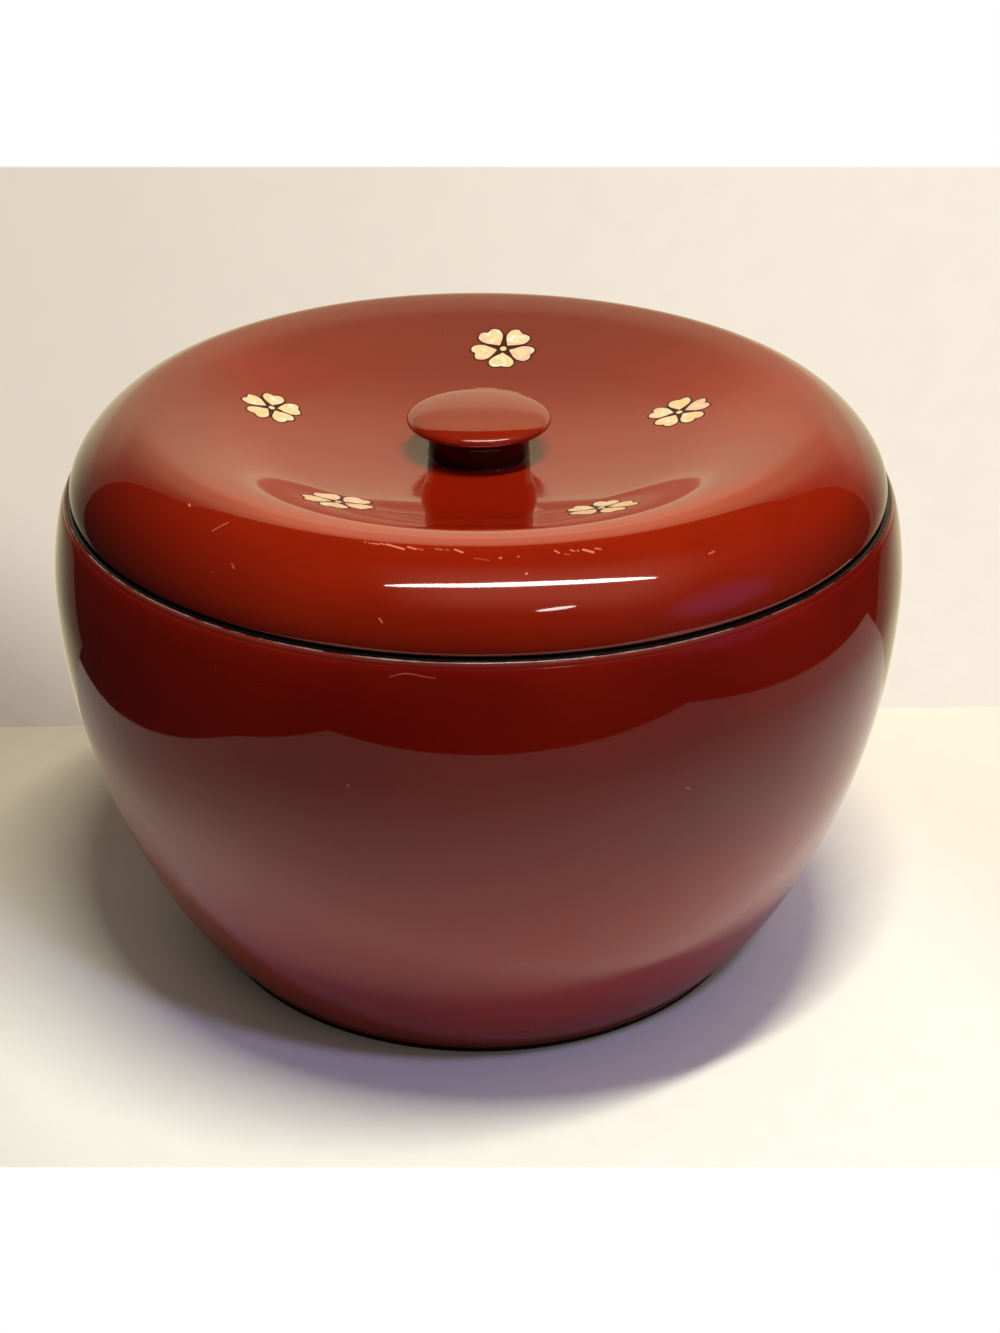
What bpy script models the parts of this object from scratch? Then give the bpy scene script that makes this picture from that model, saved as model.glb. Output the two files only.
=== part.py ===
"""Lidded lacquer rice bowl: turned bowl, foot, locating ring, dished lid, knob and shell inlay."""

from math import cos, pi, radians, sin

import bmesh
import bpy

# Every length is in metres. The origin is at the bottom centre, and +Z is up.
GAP = 0.0003                # glue line, or the gap under a piece that rests on another
TURN_STEPS = 56             # facets round the bowl, the rings and the lid
KNOB_STEPS = 32             # facets round the knob
CURVE_STEPS = 6             # straight runs along one curved stretch of a profile
ROUND_STEPS = 3             # straight runs round one small edge
MERGE = 0.00001             # points closer than this are one point

# Bowl shell
RIM_HEIGHT = 0.151          # height of the ledge that the lid rests on
RIM_RADIUS = 0.1245         # outer edge of that ledge
RIM_ROUND = 0.0018          # rounding of the ledge's outer edge
BELLY_BULGE = 0.0045        # how far the belly stands out beyond the rim
BELLY_DROP = 0.0284         # how far the widest place lies below the rim
BASE_RADIUS = 0.0895        # lower edge of the outer wall
BASE_ROUND = 0.001          # rounding of that edge
WALL = 0.008                # wall at the belly
BOWL_FLOOR = 0.010          # wood under the inside
INSIDE_FLAT = 0.062         # radius of the flat middle of the inside

# Foot ring, let into the underside
FOOT_RADIUS = 0.0885
FOOT_WIDTH = 0.007
FOOT_STAND = 0.002          # what shows below the bowl
FOOT_SEAT = 0.0025          # what sits in the bowl's groove
FOOT_ROUND = 0.0004

# Mouth ring, the upstand that keeps the lid in place
RING_WALL = 0.0024
RING_STAND = 0.005          # what stands above the ledge
RING_SEAT = 0.005           # what sits in the bowl's rabbet
RING_ROUND = 0.0008
LID_PLAY = 0.0006           # between the upstand and the lid's skirt

# Lid shell
LEDGE_SHOWN = 0.002         # how far the ledge stands out beyond the lid
EDGE_WALL = 0.0043          # lid's lower edge, across
EDGE_ROUND = 0.001
SKIRT_DEPTH = 0.0056        # upright part of the lid's inside
LID_HEIGHT = 0.0223         # lower edge to the crest
CREST_INSET = 0.022         # lower edge's outside to the crest
DISH_DEPTH = 0.01655        # crest to the middle of the dish
HOLLOW_INSET = 0.0405       # crest to where the dish's side turns into its hollow middle
HOLLOW_RISE = 0.00645       # middle of the dish to that place
CREST_WALL = 0.005          # wood at the crest
DISH_WALL = 0.0065          # wood at the middle of the dish

# Knob, turned apart and tenoned into the dish
KNOB_RADIUS = 0.0217
KNOB_HEIGHT = 0.0160        # middle of the dish to the top of the knob
CAP_RISE = 0.0045           # widest place of the cap to its top
CAP_EDGE = 0.0019           # widest place of the cap to its underside
NECK_RADIUS = 0.0152
NECK_FILLET = 0.0038        # hollow between the neck and the cap
TENON_RADIUS = 0.0068
TENON_LENGTH = 0.0038

# Cherry blossoms in shell, each with a middle and a ring of petals
PETAL_COUNT = 5
PETAL_TIP = 0.0021          # blossom's middle to the petal's point
PETAL_SHOULDER = 0.0079     # blossom's middle to the petal's widest place
PETAL_REACH = 0.0104        # blossom's middle to the crown of a lobe
PETAL_WIDTH = 0.0081
LOBE_SPREAD = 0.0043        # between the crowns of a petal's two lobes
NOTCH_DEPTH = 0.0007        # depth of the notch between those lobes
CENTRE_RADIUS = 0.0011
POCKET_DEPTH = 0.0008
POCKET_MARGIN = 0.0007      # pocket beyond the petals
SHELL_PROUD = 0.0001        # shell above the lacquer
PETAL_STEPS = 4             # straight runs along each of a petal's curves
POCKET_STEPS = 40
CENTRE_STEPS = 10

# The blossoms lie as they were set by hand: bearing from +X, distance in from the crest, bearing of
# one petal from the outward direction, and size as a share of the petal sizes above
BLOSSOMS = (
    (83.3, 0.0319, 37.5, 0.98),
    (13.7, 0.0372, 0.0, 0.85),
    (-61.8, 0.0295, -5.0, 0.91),
    (-124.7, 0.0320, 28.0, 0.92),
    (164.8, 0.0346, -2.0, 0.84),
)

# Linear red, green and blue, then roughness
FINISHES = {
    "red_lacquer": ((0.280, 0.013, 0.005), 0.12),
    "black_lacquer": ((0.006, 0.005, 0.005), 0.18),
    "shell": ((0.880, 0.660, 0.400), 0.25),
}

# Heights and radii that follow from the sizes above
BELLY_RADIUS = RIM_RADIUS + BELLY_BULGE
BELLY_HEIGHT = RIM_HEIGHT - BELLY_DROP
LID_RADIUS = RIM_RADIUS - LEDGE_SHOWN
SKIRT_RADIUS = LID_RADIUS - EDGE_WALL
RING_RADIUS = SKIRT_RADIUS - LID_PLAY
MOUTH_RADIUS = RING_RADIUS - RING_WALL
CREST_RADIUS = LID_RADIUS - CREST_INSET
HOLLOW_RADIUS = CREST_RADIUS - HOLLOW_INSET
DISH_BOTTOM = LID_HEIGHT - DISH_DEPTH


def curve_point(ends, share):
    """Point at a share of the way along a cubic curve: start, two handles, end."""
    rest = 1.0 - share
    weights = (rest ** 3, 3 * rest ** 2 * share, 3 * rest * share ** 2, share ** 3)
    return tuple(sum(w * p[axis] for w, p in zip(weights, ends)) for axis in (0, 1))


def curve(ends, steps=CURVE_STEPS):
    """Points along a cubic curve, without its first one."""
    return [curve_point(ends, i / steps) for i in range(1, steps + 1)]


def eased(start, end, lead, approach):
    """Curve between two points, with each handle given as shares of the step in radius and height."""
    step = (end[0] - start[0], end[1] - start[1])
    first = (start[0] + lead[0] * step[0], start[1] + lead[1] * step[1])
    second = (end[0] - approach[0] * step[0], end[1] - approach[1] * step[1])
    return (start, first, second, end)


def arc(centre, radius, start, end, steps=ROUND_STEPS):
    """Points round a small edge, from one angle in degrees to another."""
    angles = [radians(start + (end - start) * i / steps) for i in range(steps + 1)]
    return [(centre[0] + radius * cos(a), centre[1] + radius * sin(a)) for a in angles]


# The dish is a shallow hollow that steepens without a break into a side, level at the crest
HOLLOW_EDGE = (HOLLOW_RADIUS, DISH_BOTTOM + HOLLOW_RISE)
SIDE_STEP = (CREST_RADIUS - HOLLOW_EDGE[0], LID_HEIGHT - HOLLOW_EDGE[1])
SIDE_LEAD = 0.34 * 2 * HOLLOW_RISE / HOLLOW_RADIUS * SIDE_STEP[0] / SIDE_STEP[1]
HOLLOW = eased((0.0, DISH_BOTTOM), HOLLOW_EDGE, (1 / 3, 0.0), (1 / 3, 2 / 3))
SIDE = eased(HOLLOW_EDGE, (CREST_RADIUS, LID_HEIGHT), (0.34, SIDE_LEAD), (0.30, 0.0))


def dish_height(radius):
    """Height of the dish at a radius, above the lid's lower edge."""
    ends = HOLLOW if radius < HOLLOW_RADIUS else SIDE
    low, high = 0.0, 1.0
    for _ in range(40):
        middle = (low + high) / 2
        if curve_point(ends, middle)[0] < radius:
            low = middle
        else:
            high = middle
    return curve_point(ends, low)[1]


def finish(name):
    """Plain lacquer or shell, shared by every piece that has it."""
    material = bpy.data.materials.get(name)
    if material is None:
        colour, roughness = FINISHES[name]
        material = bpy.data.materials.new(name)
        material.use_nodes = True
        shader = material.node_tree.nodes["Principled BSDF"]
        shader.inputs["Base Color"].default_value = (*colour, 1.0)
        shader.inputs["Roughness"].default_value = roughness
        shader.inputs["Metallic"].default_value = 0.0
    return material


def place(name, mesh, carrier, finish_name):
    """Named object for one piece, carried by an empty."""
    obj = bpy.data.objects.new(name, mesh)
    bpy.context.scene.collection.objects.link(obj)
    obj.parent = carrier
    mesh.materials.append(finish(finish_name))
    return obj


def turned(name, profile, steps, carrier, finish_name):
    """Piece turned about the axis. A profile that starts off the axis is a closed ring."""
    edges = [(i, i + 1) for i in range(len(profile) - 1)]
    if profile[0][0] > MERGE:
        edges.append((len(profile) - 1, 0))
    mesh = bpy.data.meshes.new(name)
    mesh.from_pydata([(radius, 0.0, height) for radius, height in profile], edges, [])
    obj = place(name, mesh, carrier, finish_name)
    turning = obj.modifiers.new("turning", "SCREW")
    turning.axis = "Z"
    turning.angle = 2 * pi
    turning.steps = steps
    turning.render_steps = steps
    turning.use_merge_vertices = True
    turning.merge_threshold = MERGE
    turning.use_smooth_shade = True
    return obj


def inlay_mesh(name, outlines, depth, rise):
    """Flat slips that follow the dish, from a depth below its surface to a rise above it."""
    bm = bmesh.new()
    for outline in outlines:
        radii = [(x * x + y * y) ** 0.5 for x, y in outline]
        base = [bm.verts.new((x, y, dish_height(r) - depth)) for (x, y), r in zip(outline, radii)]
        lower = bm.faces.new(base)
        upper = bmesh.ops.extrude_face_region(bm, geom=[lower], use_keep_orig=True)["geom"]
        raised = [v for v in upper if isinstance(v, bmesh.types.BMVert)]
        bmesh.ops.translate(bm, verts=raised, vec=(0.0, 0.0, depth + rise))
    bmesh.ops.recalc_face_normals(bm, faces=bm.faces)
    bmesh.ops.triangulate(bm, faces=[f for f in bm.faces if len(f.verts) > 4])
    mesh = bpy.data.meshes.new(name)
    bm.to_mesh(mesh)
    bm.free()
    return mesh


def petal_outline():
    """Heart-shaped petal along +X from the blossom's middle: point, shoulder, lobe and notch."""
    half = PETAL_WIDTH / 2
    point = (PETAL_TIP, 0.0)
    shoulder = (PETAL_SHOULDER, half)
    crown = (PETAL_REACH, LOBE_SPREAD / 2)
    notch = (PETAL_REACH - NOTCH_DEPTH, 0.0)
    side = [point]
    side += curve(eased(point, shoulder, (0.34, 0.30), (0.38, 0.0)), PETAL_STEPS)
    side += curve(eased(shoulder, crown, (0.55, 0.0), (0.0, 0.50)), PETAL_STEPS)
    side += curve(eased(crown, notch, (0.0, 0.50), (0.45, 0.30)), PETAL_STEPS)
    return side + [(x, -y) for x, y in side[-2:0:-1]]


def centre_outline():
    """Round slip in the blossom's middle."""
    angles = [2 * pi * i / CENTRE_STEPS for i in range(CENTRE_STEPS)]
    return [(CENTRE_RADIUS * cos(a), CENTRE_RADIUS * sin(a)) for a in angles]


def pocket_outline():
    """One wavy line round all the petals: out over each lobe, in at each notch and between petals."""
    crown = PETAL_REACH + POCKET_MARGIN
    notch = crown - NOTCH_DEPTH / 2
    valley = PETAL_SHOULDER + 2 * POCKET_MARGIN
    twice = (crown - (notch + valley) / 2) / 2
    once = (notch - valley) / 2
    outline = []
    for i in range(POCKET_STEPS):
        turn = 2 * pi * i / POCKET_STEPS
        wave = once * cos(PETAL_COUNT * turn) - twice * cos(2 * PETAL_COUNT * turn)
        reach = crown - twice + wave
        outline.append((reach * cos(turn), reach * sin(turn)))
    return outline


def set_in_lid(outline, blossom, turn):
    """Outline about a blossom's middle, sized, turned and moved to its place on the lid."""
    bearing, inset, petal_turn, size = blossom
    outward = radians(bearing)
    distance = CREST_RADIUS - inset
    angle = outward + radians(petal_turn) + turn
    along, across = size * cos(angle), size * sin(angle)
    middle = (distance * cos(outward), distance * sin(outward))
    return [(middle[0] + x * along - y * across, middle[1] + x * across + y * along) for x, y in outline]


def bowl_shell(carrier):
    """Turned wooden bowl, from the inside's middle over the ledge and down to the underside."""
    underside = FOOT_STAND
    inside = underside + BOWL_FLOOR
    seat_bottom = RIM_HEIGHT - RING_SEAT
    groove_top = underside + FOOT_SEAT + GAP
    inner_belly = (BELLY_RADIUS - WALL, BELLY_HEIGHT)
    outer_belly = (BELLY_RADIUS, BELLY_HEIGHT)
    rim_side = (RIM_RADIUS, RIM_HEIGHT - RIM_ROUND)
    base_side = (BASE_RADIUS, underside + BASE_ROUND)
    profile = [(0.0, inside), (INSIDE_FLAT, inside)]
    profile += curve(eased(profile[-1], inner_belly, (0.50, 0.0), (0.0, 0.54)))
    profile += curve(eased(inner_belly, (MOUTH_RADIUS, seat_bottom), (0.0, 0.45), (0.30, 0.40)))
    profile += [(RING_RADIUS + GAP, seat_bottom), (RING_RADIUS + GAP, RIM_HEIGHT)]
    profile += arc((RIM_RADIUS - RIM_ROUND, RIM_HEIGHT - RIM_ROUND), RIM_ROUND, 90, 0)
    profile += curve(eased(rim_side, outer_belly, (0.35, 0.05), (0.0, 0.43)))
    profile += curve(eased(outer_belly, base_side, (0.0, 0.41), (0.53, 0.20)))
    profile += arc((BASE_RADIUS - BASE_ROUND, underside + BASE_ROUND), BASE_ROUND, 0, -90)[1:]
    profile += [(FOOT_RADIUS + GAP, underside), (FOOT_RADIUS + GAP, groove_top)]
    profile += [(FOOT_RADIUS - FOOT_WIDTH - GAP, groove_top), (FOOT_RADIUS - FOOT_WIDTH - GAP, underside)]
    profile += [(0.0, underside)]
    turned("bowl_shell", profile, TURN_STEPS, carrier, "red_lacquer")


def foot_ring(carrier):
    """Low ring that the bowl stands on, let into its underside."""
    inner = FOOT_RADIUS - FOOT_WIDTH
    top = FOOT_STAND + FOOT_SEAT
    profile = [(inner, top), (FOOT_RADIUS, top)]
    profile += arc((FOOT_RADIUS - FOOT_ROUND, FOOT_ROUND), FOOT_ROUND, 0, -90)
    profile += [(inner, 0.0)]
    turned("foot_ring", profile, TURN_STEPS, carrier, "black_lacquer")


def mouth_ring(carrier):
    """Upstand in the bowl's mouth that the lid's skirt drops over."""
    bottom = RIM_HEIGHT - RING_SEAT + GAP
    top = RIM_HEIGHT + RING_STAND
    profile = [(MOUTH_RADIUS, top)]
    profile += arc((RING_RADIUS - RING_ROUND, top - RING_ROUND), RING_ROUND, 90, 0)
    profile += [(RING_RADIUS, bottom), (MOUTH_RADIUS, bottom)]
    turned("mouth_ring", profile, TURN_STEPS, carrier, "black_lacquer")


def lid_shell(carrier):
    """Dished lid, from the tenon hole over the crest and down, then back along its hollow inside."""
    hole_radius = TENON_RADIUS + GAP
    hole_bottom = dish_height(hole_radius) - TENON_LENGTH
    crest = (CREST_RADIUS, LID_HEIGHT)
    inner_crest = (CREST_RADIUS, LID_HEIGHT - CREST_WALL)
    edge_side = (LID_RADIUS, EDGE_ROUND)
    skirt_top = (SKIRT_RADIUS, SKIRT_DEPTH)
    profile = [(0.0, hole_bottom), (hole_radius, hole_bottom), (hole_radius, dish_height(hole_radius))]
    profile += [p for p in curve(HOLLOW) + curve(SIDE) if p[0] > hole_radius + EDGE_ROUND]
    profile += curve(eased(crest, edge_side, (0.40, 0.0), (0.0, 0.40)))
    profile += arc((LID_RADIUS - EDGE_ROUND, EDGE_ROUND), EDGE_ROUND, 0, -90)[1:]
    profile += [(SKIRT_RADIUS, 0.0), skirt_top]
    profile += curve(eased(skirt_top, inner_crest, (0.0, 0.50), (0.50, 0.0)))
    profile += curve(eased(inner_crest, (0.0, DISH_BOTTOM - DISH_WALL), (0.20, 0.0), (0.65, 0.0)))
    lid = turned("lid_shell", profile, TURN_STEPS, carrier, "red_lacquer")
    outlines = [set_in_lid(pocket_outline(), blossom, 0.0) for blossom in BLOSSOMS]
    mesh = inlay_mesh("blossom_pockets", outlines, POCKET_DEPTH, POCKET_DEPTH)
    cutter = place("blossom_pockets", mesh, carrier, "red_lacquer")
    cutter.hide_render = True
    cutter.display_type = "WIRE"
    pockets = lid.modifiers.new("pockets", "BOOLEAN")
    pockets.operation = "DIFFERENCE"
    pockets.solver = "EXACT"
    pockets.object = cutter


def lid_knob(carrier):
    """Mushroom knob: domed cap, neck and the tenon that is glued into the dish."""
    top = DISH_BOTTOM + KNOB_HEIGHT
    widest = (KNOB_RADIUS, top - CAP_RISE)
    underside = top - CAP_RISE - CAP_EDGE
    fillet_end = (NECK_RADIUS + NECK_FILLET, underside)
    neck_top = (NECK_RADIUS, underside - NECK_FILLET)
    tenon_bottom = dish_height(TENON_RADIUS + GAP) - TENON_LENGTH + GAP
    profile = [(0.0, top)]
    profile += curve(eased(profile[0], widest, (0.60, 0.0), (0.0, 0.58)))
    profile += curve(eased(widest, fillet_end, (0.0, 0.70), (0.55, 0.0)), ROUND_STEPS + 1)
    profile += curve(eased(fillet_end, neck_top, (0.55, 0.0), (0.0, 0.55)), ROUND_STEPS)
    profile += [(NECK_RADIUS, dish_height(NECK_RADIUS) + GAP)]
    profile += [(TENON_RADIUS, dish_height(TENON_RADIUS) + GAP)]
    profile += [(TENON_RADIUS, tenon_bottom), (0.0, tenon_bottom)]
    turned("lid_knob", profile, KNOB_STEPS, carrier, "red_lacquer")


def blossoms(carrier):
    """Shell slips of every blossom, set in their pockets a glue line above the bottom."""
    for number, blossom in enumerate(BLOSSOMS, 1):
        for petal in range(PETAL_COUNT):
            name = f"blossom_{number}_petal_{petal + 1}"
            outline = set_in_lid(petal_outline(), blossom, 2 * pi * petal / PETAL_COUNT)
            place(name, inlay_mesh(name, [outline], POCKET_DEPTH - GAP, SHELL_PROUD), carrier, "shell")
        name = f"blossom_{number}_centre"
        outline = set_in_lid(centre_outline(), blossom, 0.0)
        place(name, inlay_mesh(name, [outline], POCKET_DEPTH - GAP, SHELL_PROUD), carrier, "shell")


def carrier_at(name, height):
    """Empty on the axis that carries the pieces of one body."""
    empty = bpy.data.objects.new(name, None)
    empty.location = (0.0, 0.0, height)
    bpy.context.scene.collection.objects.link(empty)
    return empty


def main():
    """Clear the scene, then build the bowl and the lid resting on it."""
    for obj in list(bpy.data.objects):
        bpy.data.objects.remove(obj, do_unlink=True)
    bowl = carrier_at("bowl_carrier", 0.0)
    bowl_shell(bowl)
    foot_ring(bowl)
    mouth_ring(bowl)
    lid = carrier_at("lid_carrier", RIM_HEIGHT + GAP)
    lid_shell(lid)
    lid_knob(lid)
    blossoms(lid)


main()
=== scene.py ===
import math

import bpy
import numpy as np
from mathutils import Matrix, Vector


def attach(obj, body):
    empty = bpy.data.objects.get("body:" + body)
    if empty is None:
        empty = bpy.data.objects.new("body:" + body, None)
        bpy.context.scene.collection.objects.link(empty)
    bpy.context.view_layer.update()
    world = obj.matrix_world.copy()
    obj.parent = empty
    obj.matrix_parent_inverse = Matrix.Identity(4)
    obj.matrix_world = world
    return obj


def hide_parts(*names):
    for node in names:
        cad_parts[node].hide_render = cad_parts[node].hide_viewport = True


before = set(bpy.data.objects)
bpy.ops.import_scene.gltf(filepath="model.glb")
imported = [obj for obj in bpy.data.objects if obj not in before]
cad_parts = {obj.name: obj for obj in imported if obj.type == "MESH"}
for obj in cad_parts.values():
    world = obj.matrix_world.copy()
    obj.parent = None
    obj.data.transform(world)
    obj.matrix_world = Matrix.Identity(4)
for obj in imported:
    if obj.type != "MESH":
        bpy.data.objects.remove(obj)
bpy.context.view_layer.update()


def ink(red, green, blue):
    # a colour as a paint chart gives it, 0 to 255, turned into the light values that shaders take
    share = np.array((red, green, blue)) / 255
    light = np.where(share <= 0.04045, share / 12.92, ((share + 0.055) / 1.055) ** 2.4)
    return (*light.tolist(), 1.0)


class Value:
    # a shader socket that takes part in Python sums
    def __init__(self, wiring, socket):
        self.wiring, self.socket = wiring, socket

    def __add__(self, other):
        return self.wiring.sum("ADD", self, other)

    def __sub__(self, other):
        return self.wiring.sum("SUBTRACT", self, other)

    def __rsub__(self, other):
        return self.wiring.sum("SUBTRACT", other, self)

    def __mul__(self, other):
        return self.wiring.sum("MULTIPLY", self, other)

    def __truediv__(self, other):
        return self.wiring.sum("DIVIDE", self, other)

    def __rtruediv__(self, other):
        return self.wiring.sum("DIVIDE", other, self)

    __radd__ = __add__
    __rmul__ = __mul__


class Wiring:
    # the node tree of a material or of the world
    def __init__(self, tree):
        self.tree = tree
        tree.nodes.clear()

    def node(self, kind, settings, sockets, out=0):
        made = self.tree.nodes.new("ShaderNode" + kind)
        for key, value in settings.items():
            setattr(made, key, value)
        for key, value in sockets.items():
            if isinstance(value, Value):
                self.tree.links.new(value.socket, made.inputs[key])
            else:
                made.inputs[key].default_value = value
        return Value(self, made.outputs[out] if len(made.outputs) else None)

    def sum(self, operation, *values):
        return self.node("Math", {"operation": operation}, dict(enumerate(values)))

    def either(self, first, second):
        return self.sum("MAXIMUM", first, second)

    def fade(self, value, zero, one):
        # smooth step: 0 where the value is at zero, 1 where it is at one
        sockets = {0: value, 1: zero, 2: one, 3: 0, 4: 1}
        return self.node("MapRange", {"interpolation_type": "SMOOTHSTEP"}, sockets)

    def band(self, value, middle, zero, one):
        # the same, by how far the value is from the middle of a band
        return self.fade(self.sum("ABSOLUTE", value - middle), zero, one)

    def blend(self, share, first, second):
        return self.node("Mix", {"data_type": "RGBA"}, {0: share, 6: first, 7: second}, 2)

    def vector(self, operation, *values, out=0):
        return self.node("VectorMath", {"operation": operation}, dict(enumerate(values)), out)

    def place(self):
        return self.node("TexCoord", {}, {}, "Object")

    def noise(self, place, scale, detail=2, rough=0.5):
        sockets = {"Vector": place, "Scale": scale, "Detail": detail, "Roughness": rough}
        return self.node("TexNoise", {}, sockets)

    def patches(self, place, scale, zero, one, detail=2, rough=0.5):
        # noise made into soft patches
        return self.fade(self.noise(place, scale, detail, rough), zero, one)

    def specks(self, place, scale, zero, one):
        # dots round the middles of scattered cells
        return self.fade(self.node("TexVoronoi", {}, {"Vector": place, "Scale": scale}), zero, one)

    def bump(self, height, depth, strength=1.0):
        return self.node("Bump", {}, {"Strength": strength, "Distance": depth, "Height": height})

    def parts(self, place):
        # x, y, z and the distance from the axis
        split = self.node("SeparateXYZ", {}, {0: place}).socket.node
        x, y, z = (Value(self, socket) for socket in split.outputs)
        return x, y, z, self.sum("SQRT", x * x + y * y)

    def nick(self, place, start, end, width):
        # 1 near the line from start to end, by the distance to its nearest point, soft at the width
        run = np.subtract(end, start)
        away = self.vector("SUBTRACT", place, start)
        along = self.vector("DOT_PRODUCT", away, (run / (run @ run)).tolist(), out=1)
        along = self.node("Clamp", {}, {0: along})
        foot = self.node("VectorMath", {"operation": "SCALE"}, {0: run.tolist(), "Scale": along})
        return self.fade(self.vector("DISTANCE", away, foot, out=1), width * 1.5, width * 0.5)

    def nicks(self, place, lines):
        marks = 0.0
        for start, end, width, strength in lines:
            marks = self.either(self.nick(place, start, end, width) * strength, marks)
        return marks


def newFinish(name):
    material = bpy.data.materials.new(name)
    material.use_nodes = True
    return material, Wiring(material.node_tree)


def gloss(w, sockets):
    w.node("OutputMaterial", {}, {0: w.node("BsdfPrincipled", {}, sockets)})


# colours of the lacquer on each piece; ior sets how strongly it mirrors, low runs round the bowl's lower part
lacquer = dict(
    bowl=dict(
        # low is painted light: a brighter band round the bowl's lower part, lit from the floor
        red=ink(121, 19, 6), deep=ink(110, 14, 5), thin=ink(138, 30, 10), low=ink(140, 27, 8),
        lowTop=(0.11, 0.06), lowFoot=(0.028, 0.056), ior=1.45),
    # on the lid: painted light and a pale painted reflection along the front of the crest, painted shade at the
    # back, sides and lower edge
    lid=dict(
        red=ink(149, 32, 4), deep=ink(139, 25, 3), thin=ink(162, 44, 8), dish=ink(136, 21, 3),
        shoulder=ink(134, 24, 3), crestLight=ink(171, 41, 6), crestReflection=ink(181, 78, 64), shadeTone=ink(106, 15, 2),
        edge=ink(24, 8, 5), ior=1.8),
    knob=dict(red=ink(140, 30, 5), deep=ink(130, 24, 4), thin=ink(154, 42, 9), ior=2.1),
    black=ink(13, 9, 8), brown=ink(32, 17, 12), maroon=ink(54, 15, 15), bare=ink(148, 128, 118),
    nick=ink(214, 116, 92))

# wear along the rim, in metres from its arris; front is where the worn stretch begins and where it is full
wear = dict(
    line=(0.00024, 0.00008), sway=0.0003, swayScale=240, frontSkew=0.35, front=(-0.045, -0.1), frontShare=0.7,
    allRound=0.2, strip=(0.0022, 0.0005), stripShare=0.07,
    whole=dict(scale=110, zero=0.38, one=0.58, detail=3, rough=0.6))


def rimWear(w, place, stripShare):
    # a bare line on the rim's outer arris: near the circle of the arris, broken up by grain, mostly in front
    # stripShare is how much bare wood shows through in a soft strip beside the line
    x, y, z, radius = w.parts(place)
    angle = math.radians(bowl["arris"])
    across = radius - (bowl["rimRadius"] - bowl["rimRound"] * (1 - math.cos(angle)))
    above = z - (bowl["rimHeight"] - bowl["rimRound"] * (1 - math.sin(angle)))
    away = w.sum("SQRT", across * across + above * above)
    away = away + (w.noise(place, wear["swayScale"], 3) - 0.5) * wear["sway"]
    whole = w.patches(place, **wear["whole"])
    front = w.fade(y + x * wear["frontSkew"], *wear["front"])
    line = w.fade(away, *wear["line"]) * whole * (front * wear["frontShare"] + wear["allRound"])
    return w.either(line, w.fade(away, *wear["strip"]) * front * stripShare)


# where the lid's tone changes, in metres: a pair is where a fade is 0 and where it is 1, At a band's middle
# left and right go by x, back and each Front by y, all others by the distance from the axis
lidBands = dict(
    dish=(0.078, 0.055), dishShare=0.8, shoulder=(0.099, 0.104), shoulderShare=0.3,
    crestAt=0.096, crest=(0.009, 0.002), crestFront=(-0.03, -0.09), crestShare=0.8,
    reflectAt=0.099, reflectBand=(0.004, 0.0015), reflectFront=(-0.07, -0.095), reflectShare=0.4,
    leftOut=(0.03, 0.12), leftOutIn=(0.1, 0.115), left=(0.045, 0.115), leftIn=(0.06, 0.085), leftShare=0.9,
    right=(0.085, 0.125), rightFront=(-0.045, -0.01), rightShare=0.9, back=(-0.01, 0.1), backShare=0.85,
    edge=(0.1135, 0.1225), edgeFront=(-0.1, -0.05), edgeShare=0.2, edgeMore=0.2)


def lidTone(w, base, tone, x, y, radius):
    # darker in the dish and on the shoulder; painted shade towards the lower edge, most in front;
    # painted light along the front of the crest, with a pale painted reflection there;
    # painted shade at the back and at both sides, most at the left
    b = lidBands
    base = w.blend(w.fade(radius, *b["dish"]) * b["dishShare"], base, tone["dish"])
    base = w.blend(w.fade(radius, *b["shoulder"]) * b["shoulderShare"], base, tone["shoulder"])
    # painted light: brighter along the front of the crest
    crest = w.band(radius, b["crestAt"], *b["crest"]) * w.fade(y, *b["crestFront"])
    base = w.blend(crest * b["crestShare"], base, tone["crestLight"])
    # painted reflection: a pale band on the front of the crest
    reflectBand = w.band(radius, b["reflectAt"], *b["reflectBand"]) * w.fade(y, *b["reflectFront"])
    base = w.blend(reflectBand * b["reflectShare"], base, tone["crestReflection"])
    # painted shade: darker at both sides, most at the left, and at the back
    left = w.fade(x * -1, *b["left"]) * w.fade(radius, *b["leftIn"]) * b["leftShare"]
    left = w.either(w.fade(x * -1, *b["leftOut"]) * w.fade(radius, *b["leftOutIn"]), left)
    right = w.fade(x, *b["right"]) * w.fade(y, *b["rightFront"]) * b["rightShare"]
    shadeTone = w.either(w.either(w.fade(y, *b["back"]) * b["backShare"], left), right)
    base = w.blend(shadeTone, base, tone["shadeTone"])
    # painted shade: darker towards the lower edge, most in front
    dark = w.fade(y, *b["edgeFront"]) * b["edgeMore"] + b["edgeShare"]
    return w.blend(w.fade(radius, *b["edge"]) * dark, base, tone["edge"])


# the red coat: brush rings, clouds, dust, nicks, smears in the gloss and the swell of the surface
redCoat = dict(
    ringShort=0.012, brush=dict(scale=420, zero=0.45, one=0.8, detail=4, rough=0.6), brushShare=0.12,
    cloud=dict(scale=16, zero=0.3, one=0.6, detail=3),
    dust=dict(scale=170, zero=0.045, one=0.02), dusty=dict(scale=60, zero=0.56, one=0.66), dustShare=0.45,
    smear=dict(scale=34, zero=0.42, one=0.72, detail=4, rough=0.65), roughness=0.038, smearDull=0.025,
    nickDull=0.3, swellScale=42, swell=0.55, rippleScale=130, ripple=0.05, nickDeep=0.25, depth=0.00006)


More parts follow.
